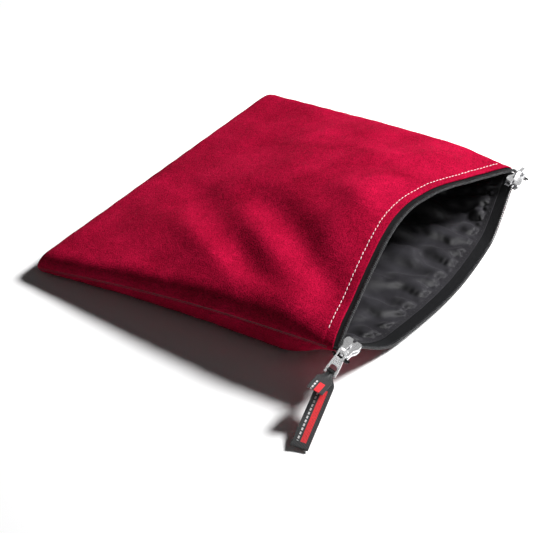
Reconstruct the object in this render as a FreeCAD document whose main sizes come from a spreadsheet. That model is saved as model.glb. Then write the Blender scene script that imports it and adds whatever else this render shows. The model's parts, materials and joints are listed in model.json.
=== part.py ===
"""A flat suede zip pouch lying with its mouth open: two panels, a nylon lining, a two-way coil zip and its pulls.

Millimetres. +Z is up, +X runs along the zip, the mouth faces -Y and the closed end +Y.
The origin is on the surface the pouch lies on, under the middle of its plan.
"""
import FreeCAD
import Part

import math
import os

import Sketcher

from FreeCAD import Placement, Rotation, Vector

doc = FreeCAD.newDocument("zip_pouch")
sheet = doc.addObject("Spreadsheet::Sheet", "Sizes")

SIZES = [
    # the pouch's plan and the lie of its panels
    ("closed_width", 265.0, "width along the sewn closed end"),
    ("mouth_chord", 229.0, "straight distance between the open mouth's two corners"),
    ("pouch_depth", 219.5, "mouth corners to the closed end, in plan"),
    ("waist", 2.5, "how far each side draws in at mid depth"),
    ("corner_height", 29.5, "height of the mouth's corners"),
    ("end_height", 6.0, "height of the seam along the closed end"),
    ("seam_lift", 3.0, "extra height of the side seams at mid depth"),
    ("lip_top_back", 20.8, "how far the upper lip stands back at its middle"),
    ("lip_top_rise", 23.6, "how far the upper lip stands above the corners at its middle"),
    ("lip_low_out", 14.5, "how far the lower lip runs out at its middle"),
    ("lip_low_lift", 1.5, "how far the lower lip's front edge stands off the surface"),
    ("lip_low_rest", 50.0, "coil line to where the lower panel lies flat"),
    ("lip_drop_share", 0.4, "share of each half of the lower lip that comes down from the corner"),
    ("edge_rise", 6.0, "height of the rolled edge along the sewn sides"),
    ("edge_roll", 12.0, "width of the rolled edge above the seam"),
    ("belly_roll", 30.0, "width of the rolled side under the seam"),
    ("belly_rise", 16.0, "height of the top panel's belly above its rolled edge"),
    ("ground_press", 0.15, "how much the underside flattens where it lies"),
    # the layers, outside in
    ("shell_thickness", 1.4, "suede"),
    ("tape_thickness", 0.8, "zip tape"),
    ("lining_thickness", 0.4, "nylon lining"),
    ("layer_gap", 0.3, "clearance between layers"),
    ("seam_gap", 0.55, "clearance from the seam's middle to the lining"),
    ("hem_setback", 5.5, "coil line to the shell's folded edge"),
    ("lining_setback", 7.0, "coil line to the lining's edge"),
    ("tape_width", 15.0, "coil line to the tape's back edge"),
    ("tape_start", 1.3, "coil line to the tape's front edge"),
    ("stitch_line", 9.0, "coil line to the topstitching"),
    ("lining_stitch_line", 8.5, "coil line to the stitching on the lining"),
    ("thread", 0.6, "width and height of a line of thread"),
    ("thread_seat", 0.25, "clearance under a line of thread"),
    ("thread_share", 0.93, "share of the lip that a line of thread covers"),
    ("seam_inset", 0.6, "edge of the pouch to the middle of its seam"),
    ("seam_start", 6.0, "shell's folded edge to the first stitch of a side seam"),
    # the chain
    ("coil_width", 2.6, "one side of the open chain"),
    ("coil_height", 1.9, "thickness of the coil"),
    ("chain_clearance", 0.25, "clearance of the chain in the slider"),
    ("chain_end", 1.2, "closed chain beyond the slider at each corner"),
    ("chain_tape_width", 12.0, "tape on both sides of the closed chain"),
    ("bartack_length", 1.0, "bar of thread across the chain's end"),
    # the sliders
    ("slider_length", 14.0, "nose to arms"),
    ("slider_nose", 7.2, "width at the closed chain"),
    ("slider_shoulder", 10.4, "width at the open chain"),
    ("slider_plate", 1.25, "thickness of each plate"),
    ("slider_notch", 2.4, "depth of the notch between the two arms"),
    ("slider_post", 2.4, "width of the post that parts the chain"),
    ("slider_forward", 3.0, "corner line to the slider's middle, outwards"),
    ("slider_drop", 2.6, "corner line to the slider's middle, downwards"),
    ("slider_tilt", 14.0, "lean of the slider towards the mouth, degrees"),
    ("slider_inset", 7.0, "mouth corner to the slider's middle, along the zip"),
    ("bridge_width", 2.2, "bridge that holds the pull"),
    ("bridge_bar", 1.2, "thickness of the bridge"),
    ("bridge_room", 3.5, "height of the space under the bridge"),
    ("bridge_reach", 8.6, "length of the bridge behind its front leg"),
    # the pulls
    ("pull_thickness", 1.2, "pull plate and its bars"),
    ("pull_length", 16.5, "the pull's pivot bar to its far edge"),
    ("pull_top_width", 5.8, "width at the eye"),
    ("pull_end_width", 7.8, "width at the far edge"),
    ("pull_eye_length", 4.6, "eye that the bridge passes through"),
    ("pull_eye_side", 0.6, "clearance beside the bridge in the eye"),
    ("pull_pivot_back", 1.15, "nose of the slider to the pull's pivot"),
    ("pull_slot_length", 3.4, "opening near the far edge"),
    ("pull_slot_width", 5.2, "width of that opening"),
    ("pull_end_bar", 1.2, "bar beyond the opening"),
    ("pull_prong", 1.4, "how far the two corners reach past that bar"),
    ("pull_hang", 50.0, "slope of a hanging pull below the slider's plate, degrees"),
    # the ribbon
    ("ribbon_width", 9.8, "woven ribbon"),
    ("ribbon_thickness", 1.0, "a folded double layer"),
    ("ribbon_length", 50.0, "long tail, from the pull's end bar"),
    ("ribbon_stub", 20.0, "short tail"),
    ("ribbon_neck", 4.4, "gathered part of each tail, from the pull's end bar"),
    ("ribbon_loop_gap", 0.3, "clearance around the pull's end bar"),
    ("ribbon_waist_gap", 0.3, "clearance beside the gathered ribbon in the opening"),
    ("ribbon_turn", 15.0, "turn of the ribbon towards the mouth, degrees"),
    ("ribbon_stub_angle", 25.0, "angle between the two tails, degrees"),
]
for row, (alias, value, note) in enumerate(SIZES, start=1):
    sheet.set(f"A{row}", str(value))
    sheet.setAlias(f"A{row}", alias)
    sheet.set(f"B{row}", note)
doc.recompute()


def size(alias):
    """A driving dimension's value."""
    return float(sheet.get(alias))


# ---- the lie of the two panels -------------------------------------------------------------------

LIP_TOP_POWER = 1.3  # the upper lip stands up like a soft tent
LIP_LOW_POWER = 1.1  # the lower lip runs out almost to a point
LIP_FADE = 0.5  # share of the depth over which a lip's shape dies away
EDGE_GROW = 0.2  # share of the depth over which the rolled edges grow from the mouth
BELLY_POWER = 2.4  # the belly is broad across the pouch
BELLY_FALL = 1.6  # how soon the belly falls towards the closed end

COLUMNS = 49  # points across the pouch that each sheet passes through
FULL_ROWS = 27  # points from mouth to closed end, for the shells and linings
BAND_ROWS = 4  # points across a narrow band
BAND_POINTS = 9  # points along a side seam


def stack():
    """Seam's middle to the outside of a shell."""
    layers = size("shell_thickness") + size("tape_thickness") + size("lining_thickness")
    return layers + 2 * size("layer_gap") + size("seam_gap")


def smooth(t):
    """0 to 1 with level ends."""
    t = min(1.0, max(0.0, t))
    return t * t * (3 - 2 * t)


def half_width(v):
    """Half the pouch's width at a share v of its depth."""
    mouth, end = size("mouth_chord") / 2, size("closed_width") / 2
    return mouth + (end - mouth) * v - size("waist") * math.sin(math.pi * v)


def seam_height(v):
    """Height of the seam's middle at a share v of the depth."""
    fall = (size("end_height") - size("corner_height")) * v
    return size("corner_height") + fall + size("seam_lift") * math.sin(math.pi * v)


def rolled(across, back, roll):
    """0 on the sewn edge to 1 beyond a rolled edge of that width."""
    rise = 1.0
    for inwards in (across, back):
        rise *= math.sin(math.pi / 2 * min(1.0, max(0.0, inwards / roll)))
    return rise


def peaked(share, power):
    """1 at the middle of a lip to 0 at its corners, rounded over at the middle."""
    round_off = 0.06
    away = math.hypot(share, round_off) - round_off
    return 1 - (away / (math.hypot(1, round_off) - round_off)) ** power


def upper_point(share, along, lift):
    """A point of the upper panel: share -1..1 across, mm back from the coil line, mm above the seam's middle."""
    depth = size("pouch_depth")
    v = min(1.0, max(0.0, along / depth))
    lip = peaked(share, LIP_TOP_POWER) * (1 - smooth(v / LIP_FADE))
    edge = rolled(half_width(v) * (1 - abs(share)), depth - along, size("edge_roll"))
    belly = (1 - abs(share) ** BELLY_POWER) * smooth(v / LIP_FADE) * smooth((1 - v) * BELLY_FALL)
    rise = size("lip_top_rise") * lip + size("edge_rise") * smooth(v / EDGE_GROW) * edge
    rise += size("belly_rise") * belly
    y = along + size("lip_top_back") * lip - depth / 2
    return Vector(half_width(v) * share, y, seam_height(v) + rise + lift)


def lower_point(share, along, lift):
    """A point of the lower panel, which comes down from the seam and lies flat; lift is below the seam's middle."""
    depth = size("pouch_depth")
    v = min(1.0, max(0.0, along / depth))
    lip = peaked(share, LIP_LOW_POWER) * (1 - smooth(v / LIP_FADE))
    at_mouth = smooth((1 - abs(share)) / size("lip_drop_share"))
    inside = rolled(half_width(v) * (1 - abs(share)), depth - along, size("belly_roll"))
    drop = at_mouth + (inside - at_mouth) * smooth(v / EDGE_GROW)
    ground = stack() - size("ground_press")
    ground += size("lip_low_lift") * (1 - smooth(along / size("lip_low_rest")))
    y = along - size("lip_low_out") * lip - depth / 2
    return Vector(half_width(v) * share, y, seam_height(v) - (seam_height(v) - ground) * drop - lift)


def spaced(start, end, count, dense_ends):
    """Values from start to end, closer together near the ends if asked."""
    steps = [i / (count - 1) for i in range(count)]
    if dense_ends:
        steps = [t / 3 + (1 - math.cos(math.pi * t)) / 3 for t in steps]
    return [start + (end - start) * t for t in steps]


def layer(name, upper, covers, reach, lift, thickness):
    """One sheet of a panel: a curved face, thickened vertically towards the inside of the pouch."""
    wide = reach[1] - reach[0] > size("pouch_depth") / 4
    point = upper_point if upper else lower_point
    rows = [
        [point(share, along, lift) for along in spaced(*reach, FULL_ROWS if wide else BAND_ROWS, wide)]
        for share in spaced(-covers, covers, COLUMNS, wide)
    ]
    surface = Part.BSplineSurface()
    surface.interpolate(rows)
    face = doc.addObject("Part::Feature", name + "_face")
    face.Shape = surface.toShape()
    solid = doc.addObject("Part::Extrusion", name + "_sheet" if wide and not upper else name)
    solid.Base = face
    solid.DirMode = "Custom"
    solid.Dir = Vector(0, 0, -1 if upper else 1)
    solid.setExpression("LengthFwd", thickness)
    solid.Solid = True
    return solid


def below_ground():
    """The block that the underside is flattened against."""
    block = doc.addObject("Part::Box", "ground")
    block.setExpression("Length", "2 * Sizes.closed_width")
    block.setExpression("Width", "2 * Sizes.pouch_depth")
    block.setExpression("Height", "Sizes.corner_height")
    block.setExpression("Placement.Base.x", "-Sizes.closed_width")
    block.setExpression("Placement.Base.y", "-Sizes.pouch_depth")
    block.setExpression("Placement.Base.z", "-Sizes.corner_height")
    return block


NODES = []


def keep(node, label):
    """Marks an object as a sub-part that is written out under this label."""
    node.Label = label
    NODES.append(node)


def make_panels():
    """Shell, lining, zip tape, coil and stitching of both panels."""
    depth = size("pouch_depth")
    chain_share = 1 - (2 * size("slider_inset") + size("chain_clearance")) / (size("mouth_chord") / 2)
    tape_lift = stack() - size("shell_thickness") - size("layer_gap")
    lining_lift = tape_lift - size("tape_thickness") - size("layer_gap")
    coil_lift = tape_lift + (size("coil_height") - size("tape_thickness")) / 2
    half_thread = size("thread") / 2
    for side, upper in (("top", True), ("bottom", False)):
        shell = layer("shell_" + side, upper, 1.0, (size("hem_setback"), depth), stack(),
                      "Sizes.shell_thickness")
        if not upper:
            flat = doc.addObject("Part::Cut", "shell_bottom")
            flat.Base = shell
            flat.Tool = below_ground()
            shell = flat
        lining = layer("lining_" + side, upper, 1.0, (size("lining_setback"), depth), lining_lift,
                       "Sizes.lining_thickness")
        tape = layer("zip_tape_" + side, upper, chain_share, (size("tape_start"), size("tape_width")),
                     tape_lift, "Sizes.tape_thickness")
        coil_front = size("tape_start") - size("layer_gap") - size("coil_width")
        coil = layer("zip_coil_" + side, upper, chain_share, (coil_front, coil_front + size("coil_width")),
                     coil_lift, "Sizes.coil_height")
        stitch = size("stitch_line")
        top_row = layer("topstitch_" + side, upper, size("thread_share"),
                        (stitch - half_thread, stitch + half_thread),
                        stack() + size("thread_seat") + size("thread"), "Sizes.thread")
        stitch = size("lining_stitch_line")
        inner_row = layer("lining_stitch_" + side, upper, size("thread_share"),
                          (stitch - half_thread, stitch + half_thread),
                          lining_lift - size("lining_thickness") - size("thread_seat"), "Sizes.thread")
        for node, label in ((shell, "shell_"), (lining, "lining_"), (tape, "zip_tape_"),
                            (coil, "zip_coil_"), (top_row, "topstitch_"), (inner_row, "lining_stitch_")):
            keep(node, label + side)


def make_seams():
    """The lines of thread that close the two sides and the closed end."""
    depth, half_thread = size("pouch_depth"), size("thread") / 2
    inset = size("seam_inset")
    start = size("hem_setback") + size("seam_start")
    lift = half_thread

    def strip(name, line):
        """A square thread along a line of points in plan, half of it to each side."""
        rows = []
        for x, y, z, across in line:
            rows.append([Vector(x, y, z) + across * -half_thread, Vector(x, y, z) + across * half_thread])
        surface = Part.BSplineSurface()
        surface.interpolate(rows)
        face = doc.addObject("Part::Feature", name + "_face")
        face.Shape = surface.toShape()
        thread = doc.addObject("Part::Extrusion", name)
        thread.Base = face
        thread.DirMode = "Custom"
        thread.Dir = Vector(0, 0, -1)
        thread.setExpression("LengthFwd", "Sizes.thread")
        thread.Solid = True
        keep(thread, name)

    for name, side in (("seam_thread_near", -1), ("seam_thread_far", 1)):
        strip(name, [
            (side * (half_width(y / depth) - inset), y - depth / 2, seam_height(y / depth) + lift,
             Vector(1, 0, 0))
            for y in spaced(start, depth - 2 * inset, BAND_POINTS, False)
        ])
    half = half_width(1.0) - 2 * inset
    strip("seam_thread_end", [
        (x, depth / 2 - inset, size("end_height") + lift, Vector(0, 1, 0))
        for x in spaced(-half, half, BAND_POINTS, False)
    ])


# ---- sketches and solids --------------------------------------------------------------------------

HALF_LENGTH = "Sizes.slider_length / 2"
CHANNEL = "(Sizes.coil_height / 2 + Sizes.chain_clearance)"  # half the room between the plates
PLATE_TOP = f"({CHANNEL} + Sizes.slider_plate)"


def worth(text):
    """The value of an expression of the driving dimensions."""
    found = sheet.evalExpression(text)
    return float(getattr(found, "Value", found))


def new_body(name):
    body = doc.addObject("PartDesign::Body", name)
    body.Label = name
    return body


def new_sketch(body, name, role):
    """An empty sketch on one of a body's own origin planes."""
    sketch = body.newObject("Sketcher::SketchObject", name)
    origin_plane = next(f for f in body.Origin.OriginFeatures if f.Role == role)
    sketch.AttachmentSupport = [(origin_plane, "")]
    sketch.MapMode = "FlatFace"
    return sketch


def outline(body, name, role, *loops):
    """A sketch of closed outlines whose corners are bound to expressions of the driving dimensions."""
    sketch = new_sketch(body, name, role)
    for loop in loops:
        first = sketch.GeometryCount
        corners = [Vector(worth(x), worth(y), 0) for x, y in loop]
        following = corners[1:] + corners[:1]
        for start, end in zip(corners, following):
            sketch.addGeometry(Part.LineSegment(start, end), False)
        for i in range(len(loop)):
            after = first + (i + 1) % len(loop)
            sketch.addConstraint(Sketcher.Constraint("Coincident", first + i, 2, after, 1))
        for i, corner in enumerate(loop):
            for kind, text in zip(("DistanceX", "DistanceY"), corner):
                place = Sketcher.Constraint(kind, -1, 1, first + i, 1, worth(text))
                index = sketch.addConstraint(place)
                sketch.setExpression(f"Constraints[{index}]", text)
    return sketch


def mirrored(points):
    """Corners below the X axis, and the same ones above it on the way back."""
    return points + [(x, f"-({y})") for x, y in reversed(points)]


def centred(body, kind, name, sketch, length):
    """A Pad or Pocket that runs the same way to both sides of its sketch."""
    feature = body.newObject("PartDesign::" + kind, name)
    feature.Profile = sketch
    feature.SideType = "Symmetric"
    feature.setExpression("Length", length)
    return feature


def local_box(name, length, width, height, corner):
    """A block whose sizes and lowest corner are expressions."""
    block = doc.addObject("Part::Box", name)
    for side, text in zip(("Length", "Width", "Height"), (length, width, height)):
        block.setExpression(side, text)
    for axis, text in zip("xyz", corner):
        block.setExpression(f"Placement.Base.{axis}", text)
    return block


# ---- frames of the moving pieces ------------------------------------------------------------------


def frame(origin, x_axis, y_axis):
    return Placement(origin, Rotation(x_axis, y_axis, x_axis.cross(y_axis), "ZXY"))


def slider_frame(side):
    """Local X towards the open chain, Z out of the slider's upper plate; side is -1 near, 1 far."""
    lean = math.radians(size("slider_tilt"))
    middle = Vector(
        side * (size("mouth_chord") / 2 - size("slider_inset")),
        -size("pouch_depth") / 2 - size("slider_forward"),
        size("corner_height") - size("slider_drop"),
    )
    inwards = Vector(-side, 0, 0)
    normal = Vector(0, -math.sin(lean), math.cos(lean))
    return frame(middle, inwards, normal.cross(inwards))


def pull_frame(side):
    """Local X along the hanging pull from its pivot bar, Y along the bar."""
    slider = slider_frame(side)
    turn, hang = slider.Rotation, math.radians(size("pull_hang"))
    bar_room = size("pull_thickness") * math.sqrt(0.5) + size("layer_gap")
    pivot = Vector(
        -size("slider_length") / 2 + size("pull_pivot_back"),
        0,
        worth(PLATE_TOP) + size("bridge_room") - bar_room,
    )
    down = turn.multVec(Vector(-math.cos(hang), 0, -math.sin(hang)))
    return frame(slider.multVec(pivot), down, turn.multVec(Vector(0, 1, 0)))


def ribbon_frame():
    """Local X along the ribbon, Y along the pull's end bar; the long tail's end rests on the surface."""
    pull = pull_frame(-1)
    reach = size("pull_length") - size("pull_prong") - size("pull_end_bar") / 2
    start = pull.multVec(Vector(reach, 0, 0))
    bar = pull.Rotation.multVec(Vector(0, 1, 0))
    outwards = Vector(-1, 0, 0)
    steep = outwards.cross(bar)
    if steep.z > 0:
        steep = -steep
    turn = math.radians(size("ribbon_turn"))
    low_corner = abs(bar.z) * size("ribbon_width") / 2 + size("ribbon_thickness") / 2 + size("layer_gap")
    fall = start.z - low_corner - bar.z * size("ribbon_length") * math.sin(turn)
    slope = math.asin(fall / (size("ribbon_length") * math.cos(turn) * -steep.z))
    along = outwards * math.cos(slope) + steep * math.sin(slope)
    return frame(start, along, bar)


# ---- the chain's ends -----------------------------------------------------------------------------


def make_chain_end(name, side):
    """The closed chain behind a slider, with its tape, and the bar of thread across it."""
    place = slider_frame(side)
    chain = local_box(name + "_chain", "Sizes.chain_end + 0.375 * Sizes.slider_length",
                      "2 * Sizes.coil_width", "Sizes.coil_height",
                      (f"-{HALF_LENGTH} - Sizes.chain_end", "-Sizes.coil_width", "-Sizes.coil_height / 2"))
    tape = local_box(name + "_tape", "Sizes.chain_end - Sizes.chain_clearance",
                     "Sizes.chain_tape_width", "Sizes.tape_thickness",
                     (f"-{HALF_LENGTH} - Sizes.chain_end", "-Sizes.chain_tape_width / 2",
                      "-Sizes.tape_thickness / 2"))
    joined = doc.addObject("Part::Fuse", "zip_end_" + name)
    joined.Base, joined.Tool = chain, tape
    joined.Placement = place
    keep(joined, "zip_end_" + name)
    tack = doc.addObject("Part::Box", "bartack_" + name)
    tack.setExpression("Length", "Sizes.bartack_length")
    tack.setExpression("Width", "0.8 * Sizes.chain_tape_width")
    tack.setExpression("Height", "Sizes.thread")
    under = size("coil_height") / 2 + size("thread_seat") + size("thread")
    corner = Vector(-size("slider_length") / 2 - size("chain_end"), -0.4 * size("chain_tape_width"), -under)
    tack.Placement = place.multiply(Placement(corner, Rotation()))
    keep(tack, "bartack_" + name)


# ---- slider, bridge, pull -------------------------------------------------------------------------


def make_slider(name, side):
    """Two plates joined by a post at the open end, with a Y-shaped channel for the chain between them."""
    body = new_body(f"slider_{name}_body")
    nose, shoulder, post = "Sizes.slider_nose / 2", "Sizes.slider_shoulder / 2", "Sizes.slider_post / 2"
    waist_x, shoulder_x = "-0.075 * Sizes.slider_length", "0.175 * Sizes.slider_length"
    notch_x = f"{HALF_LENGTH} - Sizes.slider_notch"
    plate = mirrored([
        (f"-{HALF_LENGTH}", f"-{nose} * 0.85"),
        (f"-{HALF_LENGTH} + Sizes.slider_plate", f"-{nose}"),
        (waist_x, f"-{nose}"),
        (shoulder_x, f"-{shoulder}"),
        (f"{HALF_LENGTH} - Sizes.slider_plate", f"-{shoulder}"),
        (HALF_LENGTH, f"-{shoulder} * 0.8"),
        (HALF_LENGTH, f"-{post}"),
        (notch_x, f"-{post} / 2"),
    ])
    centred(body, "Pad", "plates", outline(body, "plate_outline", "XY_Plane", plate), f"2 * {PLATE_TOP}")
    channel = "(Sizes.coil_width + Sizes.chain_clearance)"
    flange = f"({shoulder} - 0.5 * Sizes.slider_plate)"
    room = mirrored([
        ("-Sizes.slider_length", f"-{channel}"),
        (waist_x, f"-{channel}"),
        (shoulder_x, f"-{flange}"),
        ("Sizes.slider_length", f"-{flange}"),
    ])
    post_outline = mirrored([
        (waist_x, f"-{post} / 4"),
        (shoulder_x, f"-{post}"),
        (notch_x, f"-{post}"),
    ])
    centred(body, "Pocket", "channel",
            outline(body, "channel_outline", "XY_Plane", room, post_outline), f"2 * {CHANNEL}")
    slot = mirrored([
        ("-Sizes.slider_length", "-Sizes.slider_shoulder"),
        ("Sizes.slider_length", "-Sizes.slider_shoulder"),
    ])
    centred(body, "Pocket", "tape_slot", outline(body, "slot_outline", "XY_Plane", slot, post_outline),
            "Sizes.tape_thickness + 2 * Sizes.chain_clearance")
    body.Placement = slider_frame(side)
    keep(body, f"slider_{name}_body")


def make_bridge(name, side):
    """The bridge on the slider's upper plate: one leg on the nose, one on the plate, room between them."""
    body = new_body(f"slider_{name}_bridge")
    front = f"-{HALF_LENGTH}"
    foot = f"{CHANNEL} + 0.2 * Sizes.slider_plate"
    under = f"{PLATE_TOP} + Sizes.bridge_room"
    profile = [
        (front, foot),
        (front, under),
        (f"{front} + 0.55 * Sizes.bridge_reach", under),
        (f"{front} + Sizes.bridge_reach - 1.6 * Sizes.bridge_bar", PLATE_TOP),
        (f"{front} + Sizes.bridge_reach", PLATE_TOP),
        (f"{front} + Sizes.bridge_reach", f"{PLATE_TOP} + 0.8 * Sizes.bridge_bar"),
        (f"{front} + 0.65 * Sizes.bridge_reach", f"{under} + Sizes.bridge_bar"),
        (f"{front} - 0.3 * Sizes.bridge_bar", f"{under} + Sizes.bridge_bar"),
        (f"{front} - Sizes.bridge_bar", f"{under} + 0.3 * Sizes.bridge_bar"),
        (f"{front} - Sizes.bridge_bar", foot),
    ]
    centred(body, "Pad", "arch", outline(body, "arch_outline", "XZ_Plane", profile), "Sizes.bridge_width")
    body.Placement = slider_frame(side)
    keep(body, f"slider_{name}_bridge")


def make_pull(name, side):
    """A flat pull with an eye for the bridge, widening to a forked end with an opening."""
    body = new_body("pull_tab_" + name)
    top, end = "Sizes.pull_top_width / 2", "Sizes.pull_end_width / 2"
    eye, slot = "(Sizes.bridge_width / 2 + Sizes.pull_eye_side)", "Sizes.pull_slot_width / 2"
    bar = "Sizes.pull_thickness / 2"
    bar_end = "Sizes.pull_length - Sizes.pull_prong"
    slot_end = f"{bar_end} - Sizes.pull_end_bar"
    plate = mirrored([
        (f"-{bar}", f"-{top} * 0.8"),
        (bar, f"-{top}"),
        (f"{bar} + Sizes.pull_eye_length", f"-{top}"),
        ("0.8 * Sizes.pull_length", f"-{end}"),
        ("Sizes.pull_length", f"-{end}"),
        ("Sizes.pull_length", f"-{slot} - Sizes.layer_gap"),
        (bar_end, f"-{slot}"),
    ])
    eye_hole = mirrored([(bar, f"-{eye}"), (f"{bar} + Sizes.pull_eye_length", f"-{eye}")])
    slot_hole = mirrored([
        (f"{slot_end} - Sizes.pull_slot_length", f"-{slot} * 0.6"),
        (f"{slot_end} - 0.6 * Sizes.pull_slot_length", f"-{slot}"),
        (slot_end, f"-{slot}"),
    ])
    sketch = outline(body, "pull_outline", "XY_Plane", plate, eye_hole, slot_hole)
    centred(body, "Pad", "plate", sketch, "Sizes.pull_thickness")
    body.Placement = pull_frame(side)
    keep(body, "pull_tab_" + name)


# ---- the ribbon -----------------------------------------------------------------------------------


def make_ribbon():
    """A ribbon looped round the near pull's end bar: a gathered loop and two flat tails."""
    body = new_body("ribbon_pull")
    half_bar = "(sqrt(Sizes.pull_thickness ^ 2 + Sizes.pull_end_bar ^ 2) / 2)"
    inner = f"({half_bar} + Sizes.ribbon_loop_gap)"
    outer = f"({inner} + Sizes.ribbon_thickness)"
    narrow = "(Sizes.pull_slot_width - 2 * Sizes.ribbon_waist_gap)"
    ring = new_sketch(body, "loop_outline", "XZ_Plane")
    for i, radius in enumerate((inner, outer)):
        ring.addGeometry(Part.Circle(Vector(0, 0, 0), Vector(0, 0, 1), worth(radius)), False)
        ring.addConstraint(Sketcher.Constraint("Coincident", i, 3, -1, 1))
        index = ring.addConstraint(Sketcher.Constraint("Radius", i, worth(radius)))
        ring.setExpression(f"Constraints[{index}]", radius)
    centred(body, "Pad", "loop", ring, narrow)

    def strip(name, start, end, width, turn, lift):
        """A flat strip from start to end, turned about Z and lifted about Y, both in degrees."""
        half = f"{width} / 2"
        corners = [
            (f"{x} * cos({turn}) - ({y}) * sin({turn})", f"{x} * sin({turn}) + ({y}) * cos({turn})")
            for x, y in ((start, f"-{half}"), (end, f"-{half}"), (end, half), (start, half))
        ]
        sketch = outline(body, name + "_outline", "XY_Plane", corners)
        sketch.AttachmentOffset = Placement(Vector(0, 0, 0), Rotation(Vector(0, 1, 0), worth(lift)))
        sketch.setExpression("AttachmentOffset.Rotation.Angle", lift)
        centred(body, "Pad", name, sketch, "Sizes.ribbon_thickness")

    joint, level = f"({inner} + 0.2 * Sizes.ribbon_thickness)", "0 deg"
    turn, stub_lift = "-Sizes.ribbon_turn * 1 deg", "Sizes.ribbon_stub_angle * 1 deg"
    strip("neck", joint, "Sizes.ribbon_neck", narrow, level, level)
    strip("tail", "0.9 * Sizes.ribbon_neck", "Sizes.ribbon_length", "Sizes.ribbon_width", turn, level)
    strip("stub_neck", joint, "Sizes.ribbon_neck", narrow, level, stub_lift)
    strip("stub", "0.9 * Sizes.ribbon_neck", "Sizes.ribbon_stub", "Sizes.ribbon_width", level, stub_lift)
    body.Placement = ribbon_frame()
    keep(body, "ribbon_pull")


# ---- build, check and write -----------------------------------------------------------------------

make_panels()
make_seams()
for place, hand in (("near", -1), ("far", 1)):
    make_chain_end(place, hand)
    make_slider(place, hand)
    make_bridge(place, hand)
    make_pull(place, hand)
make_ribbon()
doc.recompute()

failed = [o.Label for o in doc.Objects if "Invalid" in o.State or "Error" in o.State]
failed += [n.Label for n in NODES if n.Shape.isNull() or not n.Shape.isValid() or not n.Shape.Solids]
if failed:
    raise RuntimeError(f"not built: {failed}")

os.makedirs("parts", exist_ok=True)
for node in NODES:
    node.Shape.exportStep(f"parts/{node.Label}.step")
    box = node.Shape.BoundBox
    print(f"{node.Label:24s} solids {len(node.Shape.Solids)} volume {node.Shape.Volume:10.1f} "
          f"z {box.ZMin:7.2f} {box.ZMax:7.2f}")
travel = size("mouth_chord") / 2 - size("slider_inset") - size("slider_length") / 2 - size("chain_clearance")
for place, hand in (("near", -1), ("far", 1)):
    print(place, "slider", slider_frame(hand).Base, "pull pivot", pull_frame(hand).Base,
          "axis", pull_frame(hand).Rotation.multVec(Vector(0, 1, 0)))
print("ribbon pivot", ribbon_frame().Base, "slider travel", travel)
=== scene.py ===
"""A crimson suede zip pouch lying open, in metres, in the frame of its CAD model."""
import json
import math

import bmesh
import bpy
import numpy as np
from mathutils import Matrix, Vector


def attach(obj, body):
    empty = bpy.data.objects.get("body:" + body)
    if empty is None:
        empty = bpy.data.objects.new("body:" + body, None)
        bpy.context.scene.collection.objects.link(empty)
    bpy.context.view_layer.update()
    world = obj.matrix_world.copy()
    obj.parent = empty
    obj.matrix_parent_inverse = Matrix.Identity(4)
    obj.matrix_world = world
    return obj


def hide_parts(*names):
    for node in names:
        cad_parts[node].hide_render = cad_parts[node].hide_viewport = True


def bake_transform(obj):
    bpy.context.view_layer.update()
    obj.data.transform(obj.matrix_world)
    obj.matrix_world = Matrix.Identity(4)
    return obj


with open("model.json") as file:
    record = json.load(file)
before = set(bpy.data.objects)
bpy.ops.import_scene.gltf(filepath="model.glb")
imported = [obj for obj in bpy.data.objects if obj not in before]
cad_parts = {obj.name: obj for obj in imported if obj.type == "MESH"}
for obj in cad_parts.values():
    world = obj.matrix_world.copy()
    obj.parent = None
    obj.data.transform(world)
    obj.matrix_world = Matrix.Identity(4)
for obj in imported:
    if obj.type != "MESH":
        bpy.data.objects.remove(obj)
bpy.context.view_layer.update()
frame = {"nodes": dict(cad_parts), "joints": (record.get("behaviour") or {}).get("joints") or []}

MM = 0.001

# ---- sizes of the pouch, in millimetres, as in the CAD model ----
MOUTH, CLOSED, DEPTH = 229.0, 265.0, 219.5
WAIST, CORNER_Z, END_Z, SEAM_LIFT = 2.5, 29.5, 6.0, 3.0
LIP_BACK, LIP_RISE, LIP_OUT = 20.8, 23.6, 14.5
LOW_POWER, LOW_RUN = 1.5, 0.47
STACK, SHELL, TAPE_T, LINING_T, GAP = 3.75, 1.4, 0.8, 0.4, 0.3
HEM_TOP, HEM_LOW, LINING_EDGE, TAPE_FRONT, TAPE_BACK = 3.8, 5.5, 7.0, 1.3, 15.0
STITCH, LINING_STITCH = 9.0, 8.5
COIL_W, COIL_H = 2.6, 1.9
COIL_FRONT = TAPE_FRONT - GAP - COIL_W
TAPE_UNDER_COIL = 0.1
COIL_PITCH, WIRE_RADIUS, TURN_POINTS, CORD_RADIUS = 1.5, 0.34, 14, 0.5
CHAIN_SHARE, STITCH_SHARE = 0.985, 0.93  # how far towards the corners they run
RIBBON_JOINT = next(j for j in frame["joints"] if j["name"] == "ribbon_hinge")
CORNER_R = 6.0
LATERAL = np.array(RIBBON_JOINT["axis"])


# ---- the lie of the panels ----

def smooth(t):
    t = np.clip(t, 0.0, 1.0)
    return t * t * (3 - 2 * t)


def half_width(v):
    """Half the width, with the closed end's corners rounded off in plan."""
    corner = np.clip(1 - (1 - v) * DEPTH / CORNER_R, 0, 1)
    inset = CORNER_R * (1 - np.sqrt(1 - corner * corner))
    return MOUTH / 2 + (CLOSED - MOUTH) / 2 * v - WAIST * np.sin(np.pi * v) - inset


def seam_z(v):
    return CORNER_Z + (END_Z - CORNER_Z) * v + SEAM_LIFT * np.sin(np.pi * v)


def peaked(s, power):
    k = 0.06
    return 1 - ((np.hypot(s, k) - k) / (np.hypot(1, k) - k)) ** power


def fade(v):
    return 1 - smooth(v / 0.5)


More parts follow.
